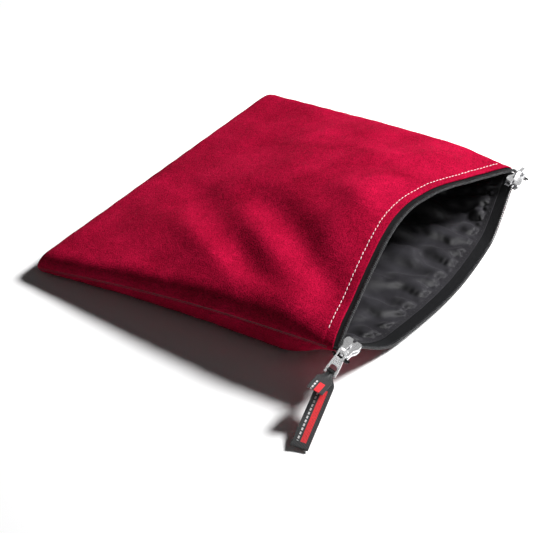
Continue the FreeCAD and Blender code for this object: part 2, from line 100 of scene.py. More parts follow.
def quarter(d, radius):
    """0 at a sewn edge to 1 beyond a rounded edge of that radius."""
    return np.sqrt(np.clip(1 - np.clip(1 - d / radius, 0, 1) ** 2, 0, 1))


def edge_distance(s, a):
    v = np.clip(a / DEPTH, 0, 1)
    return half_width(v) * (1 - np.abs(s)), DEPTH - a


def stroke(x, y, points, width, height):
    """A soft ridge or valley along a line of points in plan, fading out at both ends."""
    best = np.full(np.shape(x), 1e9)
    along = np.zeros(np.shape(x))
    spans = [math.dist(p, q) for p, q in zip(points, points[1:])]
    total, run = sum(spans), 0.0
    for (px, py), (qx, qy), span in zip(points, points[1:], spans):
        ux, uy = (qx - px) / span, (qy - py) / span
        t = np.clip((x - px) * ux + (y - py) * uy, 0, span)
        d = np.hypot(x - px - t * ux, y - py - t * uy)
        near = d < best
        best = np.where(near, d, best)
        along = np.where(near, (run + t) / total, along)
        run += span
    taper = np.sin(np.pi * np.clip(0.08 + 0.84 * along, 0, 1)) ** 0.8
    return height * np.exp(-((best / width) ** 2)) * taper


def ripples(x, y, waves):
    """A sum of plane waves: (wavelength, direction in degrees, phase, height)."""
    total = 0.0
    for length, direction, phase, height in waves:
        c, s = math.cos(math.radians(direction)), math.sin(math.radians(direction))
        total = total + height * np.sin(2 * np.pi * (x * c + y * s) / length + phase)
    return total


TOP_FOLDS = [
    ([(-20, 67), (-34, 46), (-53, 19), (-74, -11), (-94, -39), (-107, -64)], 15.0, -4.6),
    ([(-24, 12), (-36, -15), (-52, -41), (-70, -67), (-85, -90)], 13.0, -7.2),
    ([(-42, 12), (-62, -16), (-82, -43), (-97, -72)], 8.5, 1.6),
    ([(-60, 46), (-84, 10), (-102, -28), (-106, -86)], 9.5, 2.6),
    ([(6, -30), (-8, -56), (-30, -86)], 11.0, 2.4),
    ([(-70, 92), (-94, 58), (-110, 16)], 11.0, -1.0),
    ([(24, -30), (50, -66), (60, -96)], 12.0, -1.3),
    ([(40, -20), (74, -62), (92, -92)], 11.0, 1.0),
    ([(64, 10), (92, -38), (104, -70)], 10.0, -1.0),
    ([(20, 60), (60, 40), (104, 34)], 17.0, -1.0),
    ([(-10, 86), (40, 76), (96, 82)], 15.0, 0.7),
    ([(-96, 92), (-60, 70), (-20, 64)], 14.0, 0.7),
]

TOP_RIPPLES = [(71, 20, 0.4, 0.40), (47, 118, 1.9, 0.28), (31, 66, 3.3, 0.14), (23, 160, 5.1, 0.10)]


def top_height(s, a, x, y):
    """Folds and puckers of the upper panel, in millimetres."""
    side, end = edge_distance(s, a)
    inner = smooth(side / 16) * smooth(end / 16)
    lift = sum(stroke(x, y, p, w, h) for p, w, h in TOP_FOLDS) * inner
    lift += inner * ripples(x, y, TOP_RIPPLES)
    pucker = np.sin(a * 2 * np.pi / 17 + 1.3 * np.sin(a / 23)) * np.exp(-side / 9) * smooth(side / 3)
    lift += 0.22 * pucker * smooth(a / 30)
    pucker = np.sin(x * 2 * np.pi / 21 + 1.7 * np.sin(x / 31)) * np.exp(-end / 9) * smooth(end / 3)
    lift += 0.18 * pucker
    lift += -0.30 * np.exp(-(((a - STITCH) / 0.9) ** 2))
    lift += 0.14 * np.sin(x * 2 * np.pi / 8.4 + np.sin(x / 13)) * np.exp(-(((a - STITCH - 2.2) / 3.0) ** 2))
    return lift


def top_surface(s, a, below=0.0):
    """Upper panel: share across, mm back from the coil line, mm below the suede's outer face."""
    v = np.clip(a / DEPTH, 0, 1)
    lip = peaked(s, 1.3) * fade(v)
    side, end = edge_distance(s, a)
    edge = quarter(side, 12.0) * quarter(end, 12.0)
    tight = quarter(side, 8.0) * quarter(end, 8.0)
    belly = (1 - np.abs(s) ** 2.4) * smooth(v / 0.5) * smooth((1 - v) * 1.6)
    x = half_width(v) * s
    y = a + LIP_BACK * lip - DEPTH / 2
    z = seam_z(v) + LIP_RISE * lip + 6.0 * smooth(v / 0.2) * edge + 16.0 * belly
    z = z + (STACK - 0.1) * tight + 0.1 - below * (0.25 + 0.75 * tight)
    z = z + top_height(s, a, x, y)
    return np.stack([x, y, z], -1)


LOW_FOLDS = [
    ([(-120, -20), (-104, -12), (-88, -2)], 7.0, 1.2),
    ([(-116, -70), (-100, -60), (-84, -48)], 6.0, 1.0),
    ([(-126, 40), (-112, 44), (-96, 52)], 8.0, 1.2),
]


def low_surface(s, a, above=0.0):
    """Lower panel: share across, mm back from the coil line, mm above the suede's outer face."""
    v = np.clip(a / DEPTH, 0, 1)
    lip = peaked(s, LOW_POWER) * fade(v)
    at_mouth = smooth((1 - np.abs(s)) / LOW_RUN)
    side, end = edge_distance(s, a)
    inside = quarter(side, 27.0) * quarter(end, 24.0)
    drop = at_mouth + (inside - at_mouth) * smooth(v / 0.2)
    tight = quarter(side, 7.0) * quarter(end, 7.0)
    ground = STACK + 0.05 + 1.5 * (1 - smooth(a / 50.0))
    x = half_width(v) * s
    y = a - LIP_OUT * lip - DEPTH / 2
    z = seam_z(v) - (seam_z(v) - ground) * drop
    z = z - (STACK - 0.1) * tight - 0.1 + above * (0.25 + 0.75 * tight)
    wall = (1 - inside) * smooth(side / 5) * smooth(end / 5)
    crease = np.sin(a * 2 * np.pi / 26 + 1.1 * np.sin(a / 19)) + 0.6 * np.sin(a * 2 * np.pi / 11.5 + 2)
    x = x - np.sign(s) * 0.35 * wall * crease * smooth(a / 25)
    z = np.maximum(z + sum(stroke(x, y, p, w, h) for p, w, h in LOW_FOLDS) * wall, 0.1 + above * 0.9)
    return np.stack([x, y, z], -1)


def close_top(s, a):
    """How far a point follows the upper lip as the mouth closes."""
    return peaked(s, 1.3) * fade(np.clip(a / DEPTH, 0, 1))


def close_low(s, a):
    at_mouth = smooth((1 - np.abs(s)) / LOW_RUN)
    return (0.27 * peaked(s, LOW_POWER) + 0.73 * at_mouth) * fade(np.clip(a / DEPTH, 0, 1))


# ---- meshes ----

def make_object(name, points, faces, material, uvs=None):
    mesh = bpy.data.meshes.new(name)
    mesh.from_pydata([tuple(p) for p in np.asarray(points) * MM], [], [tuple(f) for f in faces])
    mesh.update()
    mesh.polygons.foreach_set("use_smooth", [True] * len(mesh.polygons))
    if uvs is not None:
        layer = mesh.uv_layers.new(name="UVMap")
        index = np.zeros(len(mesh.loops), np.int32)
        mesh.loops.foreach_get("vertex_index", index)
        layer.data.foreach_set("uv", np.asarray(uvs, np.float32)[index].ravel())
    obj = bpy.data.objects.new(name, mesh)
    bpy.context.scene.collection.objects.link(obj)
    mesh.materials.append(material)
    return obj


def lips_follow(obj, weights):
    """Bakes the piece's placement into its mesh."""
    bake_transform(obj)


def spaced(start, end, count, dense=0.6):
    t = np.linspace(0, 1, count)
    return start + (end - start) * ((1 - dense) * t + dense * (1 - np.cos(np.pi * t)) / 2)


def grid_normals(p):
    du, dv = np.gradient(p, axis=0), np.gradient(p, axis=1)
    n = np.cross(du, dv)
    return n / np.maximum(np.linalg.norm(n, axis=-1, keepdims=True), 1e-9)


def thick_sheet(outer, thickness, inward, rims):
    """A closed sheet from a grid of points, its far face set in along the normals and its rims rounded."""
    n = grid_normals(outer) * inward
    inner = outer + n * thickness
    rows, cols = outer.shape[:2]
    points = [outer.reshape(-1, 3), inner.reshape(-1, 3)]
    offset = rows * cols
    index = lambda i, j, k: k * offset + i * cols + j
    faces = []
    for i in range(rows - 1):
        for j in range(cols - 1):
            faces.append((index(i, j, 0), index(i + 1, j, 0), index(i + 1, j + 1, 0), index(i, j + 1, 0)))
            faces.append((index(i, j, 1), index(i, j + 1, 1), index(i + 1, j + 1, 1), index(i + 1, j, 1)))
    source = [np.arange(offset), np.arange(offset)]
    loop = [(i, 0) for i in range(rows)] + [(rows - 1, j) for j in range(1, cols)]
    loop += [(i, cols - 1) for i in range(rows - 2, -1, -1)] + [(0, j) for j in range(cols - 2, 0, -1)]
    start = 2 * offset
    count = len(loop)
    flat = np.array([i * cols + j for i, j in loop])
    a, b = points[0][flat], points[1][flat]
    nearby = np.array([np.clip(i, 1, rows - 2) * cols + np.clip(j, 1, cols - 2) for i, j in loop])
    out = a - points[0][nearby]
    out /= np.maximum(np.linalg.norm(out, axis=-1, keepdims=True), 1e-9)
    rounded = np.array([rims(i, j) for i, j in loop])[:, None]
    rings = []
    for t in (0.15, 0.5, 0.85):
        bulge = thickness * 0.5 * math.sin(math.pi * t) * rounded
        rings.append(a + (b - a) * (0.5 - 0.5 * math.cos(math.pi * t)) + out * bulge)
        source.append(flat)
    points += rings
    ids = [flat] + [start + k * count + np.arange(count) for k in range(3)] + [offset + flat]
    for k in range(4):
        for m in range(count):
            n2 = (m + 1) % count
            faces.append((ids[k][m], ids[k][n2], ids[k + 1][n2], ids[k + 1][m]))
    return np.concatenate(points), faces, np.concatenate(source)


def fix_normals(obj):
    bm = bmesh.new()
    bm.from_mesh(obj.data)
    bmesh.ops.recalc_face_normals(bm, faces=bm.faces)
    bm.to_mesh(obj.data)
    bm.free()


def tube(path, radius, sides):
    """Points and faces of a closed tube along a path, radius one number or one per point."""
    path = np.asarray(path, float)
    t = np.gradient(path, axis=0)
    t /= np.maximum(np.linalg.norm(t, axis=1, keepdims=True), 1e-9)
    up = np.array([0.0, 0.0, 1.0])
    side = np.cross(t, up)
    side /= np.maximum(np.linalg.norm(side, axis=1, keepdims=True), 1e-6)
    over = np.cross(side, t)
    r = np.broadcast_to(np.asarray(radius, float), (len(path),))
    ang = np.arange(sides) * 2 * np.pi / sides
    ring = np.cos(ang)[None, :, None] * side[:, None, :] + np.sin(ang)[None, :, None] * over[:, None, :]
    pts = (path[:, None, :] + ring * r[:, None, None]).reshape(-1, 3)
    faces = []
    n = len(path)
    for i in range(n - 1):
        for k in range(sides):
            k2 = (k + 1) % sides
            faces.append((i * sides + k, i * sides + k2, (i + 1) * sides + k2, (i + 1) * sides + k))
    faces.append(tuple(range(sides - 1, -1, -1)))
    faces.append(tuple((n - 1) * sides + k for k in range(sides)))
    return pts, faces


class Batch:
    """Many small meshes gathered into one piece."""

    def __init__(self):
        self.points, self.faces, self.extra, self.count = [], [], [], 0

    def add(self, points, faces, extra=None):
        self.points.append(points)
        self.faces += [tuple(int(i) + self.count for i in f) for f in faces]
        self.extra.append(extra if extra is not None else np.zeros(len(points)))
        self.count += len(points)

    def build(self, name, material):
        obj = make_object(name, np.concatenate(self.points), self.faces, material)
        return obj, np.concatenate(self.extra)


# ---- materials ----

def material(name):
    mat = bpy.data.materials.new(name)
    mat.use_nodes = True
    nodes, links = mat.node_tree.nodes, mat.node_tree.links
    shader = nodes["Principled BSDF"]
    return mat, nodes, links, shader


def add(nodes, kind, **values):
    node = nodes.new(kind)
    for key, value in values.items():
        if key in node.inputs:
            node.inputs[key].default_value = value
        else:
            setattr(node, key, value)
    return node


def ramp(nodes, links, source, stops):
    node = nodes.new("ShaderNodeValToRGB")
    elements = node.color_ramp.elements
    while len(elements) < len(stops):
        elements.new(0.5)
    for element, (position, color) in zip(elements, stops):
        element.position = position
        element.color = (*color, 1)
    links.new(source, node.inputs["Fac"])
    return node.outputs["Color"]


def mix(nodes, links, kind, factor, a, b):
    node = nodes.new("ShaderNodeMix")
    node.data_type = "RGBA"
    node.blend_type = kind
    if isinstance(factor, float):
        node.inputs["Factor"].default_value = factor
    else:
        links.new(factor, node.inputs["Factor"])
    for socket, value in (("A", a), ("B", b)):
        target = [i for i in node.inputs if i.name == socket and i.type == "RGBA"][0]
        if isinstance(value, tuple):
            target.default_value = (*value, 1)
        else:
            links.new(value, target)
    return [o for o in node.outputs if o.type == "RGBA"][0]


def bumps(nodes, links, shader, layers):
    """Chained bumps: (height socket, distance in metres, strength)."""
    last = None
    for height, distance, strength in layers:
        bump = add(nodes, "ShaderNodeBump", Distance=distance, Strength=strength)
        links.new(height, bump.inputs["Height"])
        if last is not None:
            links.new(last, bump.inputs["Normal"])
        last = bump.outputs["Normal"]
    links.new(last, shader.inputs["Normal"])


def coords(nodes, kind="Object"):
    return nodes.new("ShaderNodeTexCoord").outputs[kind]


def noise(nodes, links, where, scale, detail=4.0, rough=0.6, distort=0.0):
    node = add(nodes, "ShaderNodeTexNoise", Scale=scale, Detail=detail, Roughness=rough, Distortion=distort)
    links.new(where, node.inputs["Vector"])
    return node.outputs["Fac"]


def suede_material(name, mid, light):
    mat, nodes, links, shader = material(name)
    where = coords(nodes)
    broad = noise(nodes, links, where, 28.0, 3.0, 0.55, 0.4)
    nap = noise(nodes, links, where, 260.0, 3.0, 0.65)
    fine = noise(nodes, links, where, 1450.0, 2.0, 0.75)
    base = ramp(nodes, links, broad, [(0.3, mid), (0.72, light)])
    speck = ramp(nodes, links, nap, [(0.32, (0.80, 0.80, 0.80)), (0.68, (1.06, 1.06, 1.06))])
    base = mix(nodes, links, "MULTIPLY", 0.8, base, speck)
    grain = ramp(nodes, links, fine, [(0.36, (0.34, 0.34, 0.34)), (0.58, (1.25, 1.25, 1.25))])
    base = mix(nodes, links, "MULTIPLY", 0.9, base, grain)
    links.new(base, shader.inputs["Base Color"])
    shader.inputs["Roughness"].default_value = 0.95
    shader.inputs["Specular IOR Level"].default_value = 0.02
    shader.inputs["Sheen Weight"].default_value = 0.06
    shader.inputs["Sheen Roughness"].default_value = 0.5
    shader.inputs["Sheen Tint"].default_value = (1.0, 0.06, 0.14, 1)
    bumps(nodes, links, shader, [(broad, 0.0006, 0.4), (nap, 0.0005, 0.9), (fine, 0.0004, 1.0)])
    return mat


def nylon_material():
    mat, nodes, links, shader = material("lining_nylon")
    where = coords(nodes)
    crease = add(nodes, "ShaderNodeTexVoronoi", Scale=62.0, feature="DISTANCE_TO_EDGE")
    warp = noise(nodes, links, where, 30.0, 3.0, 0.6, 0.6)
    moved = nodes.new("ShaderNodeVectorMath")
    moved.operation = "MULTIPLY_ADD"
    colour = add(nodes, "ShaderNodeTexNoise", Scale=26.0, Detail=3.0)
    links.new(where, colour.inputs["Vector"])
    links.new(colour.outputs["Color"], moved.inputs[0])
    moved.inputs[1].default_value = (0.02, 0.02, 0.02)
    links.new(where, moved.inputs[2])
    links.new(moved.outputs["Vector"], crease.inputs["Vector"])
    weave = noise(nodes, links, where, 2600.0, 1.0, 0.5)
    base = ramp(nodes, links, warp, [(0.3, (0.009, 0.008, 0.010)), (0.7, (0.024, 0.023, 0.027))])
    links.new(base, shader.inputs["Base Color"])
    shader.inputs["Roughness"].default_value = 0.46
    shader.inputs["Specular IOR Level"].default_value = 0.5
    shader.inputs["Sheen Weight"].default_value = 0.05
    sharp = nodes.new("ShaderNodeMath")
    sharp.operation = "MINIMUM"
    links.new(crease.outputs["Distance"], sharp.inputs[0])
    sharp.inputs[1].default_value = 0.22
    layers = [(warp, 0.002, 0.25), (sharp.outputs[0], 0.0008, 0.22), (weave, 0.00004, 0.4)]
    bumps(nodes, links, shader, layers)
    return mat


def cloth_material(name, low, high, scale, roughness, uv=False, twill=45.0):
    """A woven tape: fine diagonal ribs and a little fuzz."""
    mat, nodes, links, shader = material(name)
    where = coords(nodes, "UV" if uv else "Object")
    turn = add(nodes, "ShaderNodeMapping")
    turn.inputs["Rotation"].default_value = (0, 0, math.radians(twill))
    links.new(where, turn.inputs["Vector"])
    wave = add(nodes, "ShaderNodeTexWave", Scale=scale, Distortion=0.6, Detail=1.0)
    links.new(turn.outputs["Vector"], wave.inputs["Vector"])
    fuzz = noise(nodes, links, coords(nodes), 900.0, 3.0, 0.6)
    base = ramp(nodes, links, wave.outputs["Fac"], [(0.2, low), (0.8, high)])
    tone = ramp(nodes, links, fuzz, [(0.3, (0.6, 0.6, 0.6)), (0.7, (1.15, 1.15, 1.15))])
    links.new(mix(nodes, links, "MULTIPLY", 0.8, base, tone), shader.inputs["Base Color"])
    shader.inputs["Roughness"].default_value = roughness
    shader.inputs["Specular IOR Level"].default_value = 0.18
    shader.inputs["Sheen Weight"].default_value = 0.03
    bumps(nodes, links, shader, [(wave.outputs["Fac"], 0.00022, 0.8), (fuzz, 0.00008, 0.5)])
    return mat


def thread_material(name, low, high):
    mat, nodes, links, shader = material(name)
    where = coords(nodes)
    ply = add(nodes, "ShaderNodeTexWave", Scale=900.0, Distortion=1.5)
    turn = add(nodes, "ShaderNodeMapping")
    turn.inputs["Rotation"].default_value = (0.5, 0.4, 0.8)
    links.new(where, turn.inputs["Vector"])
    links.new(turn.outputs["Vector"], ply.inputs["Vector"])
    fuzz = noise(nodes, links, where, 700.0, 2.0)
    base = ramp(nodes, links, ply.outputs["Fac"], [(0.2, low), (0.8, high)])
    tone = ramp(nodes, links, fuzz, [(0.3, (0.85, 0.82, 0.83)), (0.7, (1.05, 1.05, 1.05))])
    links.new(mix(nodes, links, "MULTIPLY", 0.7, base, tone), shader.inputs["Base Color"])
    shader.inputs["Roughness"].default_value = 0.6
    shader.inputs["Sheen Weight"].default_value = 0.2
    bumps(nodes, links, shader, [(ply.outputs["Fac"], 0.00012, 0.7)])
    return mat


def coil_material():
    mat, nodes, links, shader = material("zip_coil")
    where = coords(nodes)
    tone = noise(nodes, links, where, 500.0, 2.0)
    base = ramp(nodes, links, tone, [(0.3, (0.03, 0.03, 0.032)), (0.7, (0.09, 0.09, 0.095))])
    links.new(base, shader.inputs["Base Color"])
    shader.inputs["Roughness"].default_value = 0.22
    shader.inputs["Specular IOR Level"].default_value = 0.7
    bumps(nodes, links, shader, [(tone, 0.00005, 0.4)])
    return mat


def chrome_material():
    mat, nodes, links, shader = material("chrome")
    where = coords(nodes)
    tone = noise(nodes, links, where, 180.0, 3.0)
    scratch = add(nodes, "ShaderNodeTexNoise", Scale=2200.0, Detail=2.0)
    links.new(where, scratch.inputs["Vector"])
    base = ramp(nodes, links, tone, [(0.25, (0.78, 0.78, 0.79)), (0.75, (0.94, 0.94, 0.95))])
    links.new(base, shader.inputs["Base Color"])
    shader.inputs["Metallic"].default_value = 0.78
    rough = add(nodes, "ShaderNodeMapRange")
    rough.inputs["To Min"].default_value = 0.14
    rough.inputs["To Max"].default_value = 0.28
    links.new(tone, rough.inputs["Value"])
    links.new(rough.outputs["Result"], shader.inputs["Roughness"])
    bumps(nodes, links, shader, [(tone, 0.00012, 0.25), (scratch.outputs["Fac"], 0.00002, 0.2)])
    return mat


def ribbon_material():
    """Black twill with a plain red band and short white dashes beside it."""
    mat, nodes, links, shader = material("ribbon")
    uv = coords(nodes, "UV")
    split = nodes.new("ShaderNodeSeparateXYZ")
    links.new(uv, split.inputs[0])
    turn = add(nodes, "ShaderNodeMapping")
    turn.inputs["Rotation"].default_value = (0, 0, math.radians(50))
    links.new(uv, turn.inputs["Vector"])
    wave = add(nodes, "ShaderNodeTexWave", Scale=0.42, Distortion=0.4)
    links.new(turn.outputs["Vector"], wave.inputs["Vector"])
    fuzz = noise(nodes, links, coords(nodes), 1100.0, 3.0)

    def band(source, low, high, soft=0.12):
        up = add(nodes, "ShaderNodeMapRange")
        up.interpolation_type = "SMOOTHSTEP"
        down = add(nodes, "ShaderNodeMapRange")
        down.interpolation_type = "SMOOTHSTEP"
        ends = ((up, low - soft, low + soft, 0, 1), (down, high - soft, high + soft, 1, 0))
        for node, a, b, x, y in ends:
            node.inputs["From Min"].default_value = a
            node.inputs["From Max"].default_value = b
            node.inputs["To Min"].default_value = x
            node.inputs["To Max"].default_value = y
            links.new(source, node.inputs["Value"])
        both = nodes.new("ShaderNodeMath")
        both.operation = "MULTIPLY"
        links.new(up.outputs["Result"], both.inputs[0])
        links.new(down.outputs["Result"], both.inputs[1])
        return both.outputs[0]

    def times(a, b):
        node = nodes.new("ShaderNodeMath")
        node.operation = "MULTIPLY"
        links.new(a, node.inputs[0])
        links.new(b, node.inputs[1])
        return node.outputs[0]

    along = band(split.outputs["X"], 11.0, 45.0)
    red = times(band(split.outputs["Y"], 2.2, 5.6), along)
    dash = nodes.new("ShaderNodeMath")
    dash.operation = "PINGPONG"
    links.new(split.outputs["X"], dash.inputs[0])
    dash.inputs[1].default_value = 1.3
    white = times(times(band(split.outputs["Y"], 6.8, 7.8), along), band(dash.outputs[0], 0.45, 3.0))
    twill = wave.outputs["Fac"]
    base = ramp(nodes, links, twill, [(0.2, (0.008, 0.008, 0.009)), (0.8, (0.034, 0.034, 0.037))])
    base = mix(nodes, links, "MIX", red, base, (0.80, 0.015, 0.025))
    base = mix(nodes, links, "MIX", white, base, (0.72, 0.72, 0.72))
    tone = ramp(nodes, links, fuzz, [(0.3, (0.6, 0.6, 0.6)), (0.7, (1.1, 1.1, 1.1))])
    links.new(mix(nodes, links, "MULTIPLY", 0.7, base, tone), shader.inputs["Base Color"])
    shader.inputs["Roughness"].default_value = 0.62
    shader.inputs["Sheen Weight"].default_value = 0.2
    bumps(nodes, links, shader, [(twill, 0.00025, 0.8), (fuzz, 0.0001, 0.5)])
    return mat


SUEDE = suede_material("suede", (0.250, 0.0024, 0.0195), (0.410, 0.0048, 0.0365))
NYLON = nylon_material()
TAPE = cloth_material("zip_tape", (0.003, 0.003, 0.004), (0.011, 0.011, 0.012), 620.0, 0.85)
COIL = coil_material()
CHROME = chrome_material()
WHITE_THREAD = thread_material("white_thread", (0.80, 0.52, 0.57), (0.95, 0.78, 0.81))
BLACK_THREAD = thread_material("black_thread", (0.002, 0.002, 0.002), (0.008, 0.008, 0.008))
RED_THREAD = thread_material("red_thread", (0.14, 0.004, 0.02), (0.30, 0.01, 0.04))
RIBBON = ribbon_material()


# ---- panels ----

def panel(name, node, surface, first, count, thickness, inward, mat, follow):
    """A closed panel: count points each way, first mm back from the coil line."""
    s = spaced(-1, 1, count[0], 0.75)
    a = spaced(first, DEPTH, count[1], 0.6)
    ss, aa = np.meshgrid(s, a, indexing="ij")
    outer = surface(ss, aa, 0.0)
    rims = lambda i, j: 1.0 if j == 0 else 0.25
    points, faces, source = thick_sheet(outer, thickness, inward, rims)
    obj = make_object(name, points, faces, mat)
    fix_normals(obj)
    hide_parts(node)
    lips_follow(obj, follow(ss, aa).ravel()[source])
    return obj


shell_top = panel("suede_top", "shell_top", top_surface, HEM_TOP, (260, 200), SHELL, -1,
                  SUEDE, close_top)
shell_low = panel("suede_bottom", "shell_bottom", low_surface, HEM_LOW, (220, 170), SHELL, 1,
                  SUEDE, close_low)
LINING_DEPTH = SHELL + GAP + TAPE_T + GAP
LINING_RIPPLES = [(37, 35, 0.3, 0.5), (19, 110, 1.2, 0.4)]


def lining_top_surface(s, a, layer):
    """The linings have one layer, so layer is only there to match the suede's surfaces."""
    p = top_surface(s, a, LINING_DEPTH + 0.1)
    side, end = edge_distance(s, a)
    inner = smooth(side / 18) * smooth(end / 18)
    creases = np.abs(np.sin(p[..., 0] * np.pi / 13 + 1.4 * np.sin(p[..., 1] / 17))) - 0.6
    sag = 1.1 * creases + 0.6 + ripples(p[..., 0], p[..., 1], LINING_RIPPLES)
    p[..., 2] -= inner * smooth((a - 9) / 10) * sag
    return p


def lining_low_surface(s, a, layer):
    return low_surface(s, a, LINING_DEPTH + 0.1)


def refine(grid):
    """Twice as many steps both ways, by cubic midpoints."""
    for axis in (0, 1):
        g = np.moveaxis(grid, axis, 0)
        outer = np.concatenate([2 * g[:1] - g[1:2], g, 2 * g[-1:] - g[-2:-1]])
        middle = (9 * (outer[1:-2] + outer[2:-1]) - outer[:-3] - outer[3:]) / 16
        fine = np.empty((2 * len(g) - 1,) + g.shape[1:])
        fine[::2], fine[1::2] = g, middle
        grid = np.moveaxis(fine, 0, axis)
    return grid


def pull_pairs(p, rest, move, axis, reach, stiff):
    """Draw points that are reach apart along an axis towards their rest length."""
    q, r, m = np.moveaxis(p, axis, 0), np.moveaxis(rest, axis, 0), np.moveaxis(move, axis, 0)
    for first in range(2 * reach):
        low = np.arange(first, len(q) - reach, 2 * reach)
        if not len(low):
            continue
        high = low + reach
        d = q[high] - q[low]
        length = np.maximum(np.linalg.norm(d, axis=-1, keepdims=True), 1e-6)
        push = stiff * 0.5 * (length - r[low][..., None]) / length * d
        q[low] += push * m[low][..., None]
        q[high] -= push * m[high][..., None]


def crumple(base_at, s, a, spare_at, cap_at, seed_at):
    """The lining is cut larger than the space it lies in: it is let out from flat and settles in folds.

    base_at is what it lies on, spare_at the share that the cloth is longer by each way, cap_at how
    far it may rise. It is solved on a coarse grid first, then on two finer ones."""
    moved = None
    for step, rounds in ((4, 320), (2, 120), (1, 30)):
        ss, aa = np.meshgrid(s[::step], a[::step], indexing="ij")
        base, cap = base_at(ss, aa), cap_at(ss, aa)
        moved = seed_at(base, cap) if moved is None else refine(moved)
        p = base + moved
        free = (cap > 0.01).astype(float)
        rests = []
        for axis, reach, stiff in ((0, 1, 1.0), (1, 1, 1.0), (0, 2, 0.10), (1, 2, 0.10)):
            apart = np.linalg.norm(np.roll(base, -reach, axis) - base, axis=-1)
            rests.append((apart * (1 + spare_at(ss, aa, axis)), axis, reach, stiff))
        for _ in range(rounds):
            for rest, axis, reach, stiff in rests:
                pull_pairs(p, rest, free, axis, reach, stiff)
            shift = p - base
            shift[..., :2] = np.clip(shift[..., :2], -0.5 * cap[..., None], 0.5 * cap[..., None])
            shift[..., 2] = np.clip(shift[..., 2], 0, cap)
            p = base + shift
        moved = p - base
    return p


SEED_WAVES = [(13, 6, 0.5, 0.9), (18, -14, 1.9, 0.8), (29, 28, 0.2, 1.0), (37, -38, 4.0, 0.9),
              (24, 75, 2.2, 0.35)]


def lining_seed(base, cap):
    """Where the folds start: narrow ones square to the mouth, and a few long slanting ones."""
    x, y = base[..., 0], base[..., 1]
    rise = np.clip(0.5 + 0.16 * ripples(x, y, SEED_WAVES), 0, 1) * cap
    return np.stack([0 * x, 0 * x, rise], -1)


def lining_spare(s, a, axis):
    """The lining's spare length, most near the mouth and more across than into the pouch."""
    near = np.exp(-np.clip(a - 12, 0, None) / 45)
    return 0.05 + 0.09 * near if axis == 0 else 0.015 + 0.03 * near


def lining_cap(s, a):
    """How high the lower lining may rise: nothing at its edges, most in the middle."""
    side, end = edge_distance(s, a)
    rise = 3.6 + 4.4 * smooth((a - 14) / 50)
    return rise * smooth(side / 26) * smooth(end / 20) * smooth((a - 9.3) / 7) * (a > 9.5)


lining_top = panel("nylon_top", "lining_top", lining_top_surface, LINING_EDGE, (200, 150), LINING_T, -1,
                   NYLON, close_top)
LINING_GRID = (241, 161)
crumpled = crumple(lambda s, a: lining_low_surface(s, a, 0), spaced(-1, 1, LINING_GRID[0], 0.75),
                   spaced(LINING_EDGE, DEPTH, LINING_GRID[1], 0.6), lining_spare, lining_cap, lining_seed)
lining_low = panel("nylon_bottom", "lining_bottom", lambda s, a, layer: crumpled, LINING_EDGE, LINING_GRID,
                   LINING_T, 1, NYLON, close_low)


# ---- zip tapes, coils and stitching ----

def tape(name, node, surface, follow, inward):
    """One side's tape, sewn under the hem and running to the corners of the mouth."""
    s = np.linspace(-CHAIN_SHARE, CHAIN_SHARE, 150)
    a = np.concatenate([np.linspace(TAPE_UNDER_COIL, 6, 7), np.linspace(7, TAPE_BACK, 8)])
    ss, aa = np.meshgrid(s, a, indexing="ij")
    outer = surface(ss, aa, SHELL + GAP)
    points, faces, source = thick_sheet(outer, TAPE_T, inward, lambda i, j: 0.6)
    obj = make_object(name, points, faces, TAPE)
    fix_normals(obj)
    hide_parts(node)
    lips_follow(obj, follow(ss, aa).ravel()[source])
    return obj


def arc_samples(surface, a, layer, share, pitch):
    """Shares at even steps of length along a line of the panel."""
    s = np.linspace(-share, share, 1200)
    p = surface(s, np.full_like(s, a), layer)
    length = np.concatenate([[0], np.cumsum(np.linalg.norm(np.diff(p, axis=0), axis=1))])
    count = int(length[-1] / pitch)
    return np.interp((np.arange(count) + 0.5) * length[-1] / count, length, s)


def coil(name, node, surface, follow):
    """The turns of the coil, each a flattened loop of monofilament, with a cord through them."""
    centre = COIL_FRONT + COIL_W / 2
    layer = SHELL + GAP + TAPE_T / 2
    shares = arc_samples(surface, centre, layer, CHAIN_SHARE, COIL_PITCH)
    t = np.arange(len(shares) * TURN_POINTS) / TURN_POINTS
    s = np.interp(t, np.arange(len(shares)), shares)
    angle = 2 * np.pi * t
    across = np.clip(1.25 * np.cos(angle), -1, 1) * (COIL_W / 2 - WIRE_RADIUS)
    up = np.clip(1.2 * np.sin(angle), -1, 1) * (COIL_H / 2 - WIRE_RADIUS)
    a = centre - across
    path = surface(s, a, layer)
    path[:, 2] += up
    pts, faces = tube(path, WIRE_RADIUS, 6)
    weight = np.repeat(follow(s, a), 6)
    batch = Batch()
    batch.add(pts, faces, weight)
    s2 = np.linspace(-CHAIN_SHARE, CHAIN_SHARE, 240)
    core = surface(s2, np.full_like(s2, centre + 0.2), layer)
    pts, faces = tube(core, CORD_RADIUS, 8)
    batch.add(pts, faces, np.repeat(follow(s2, np.full_like(s2, centre)), 8))
    obj, weights = batch.build(name, COIL)
    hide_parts(node)
    lips_follow(obj, weights)
    return obj


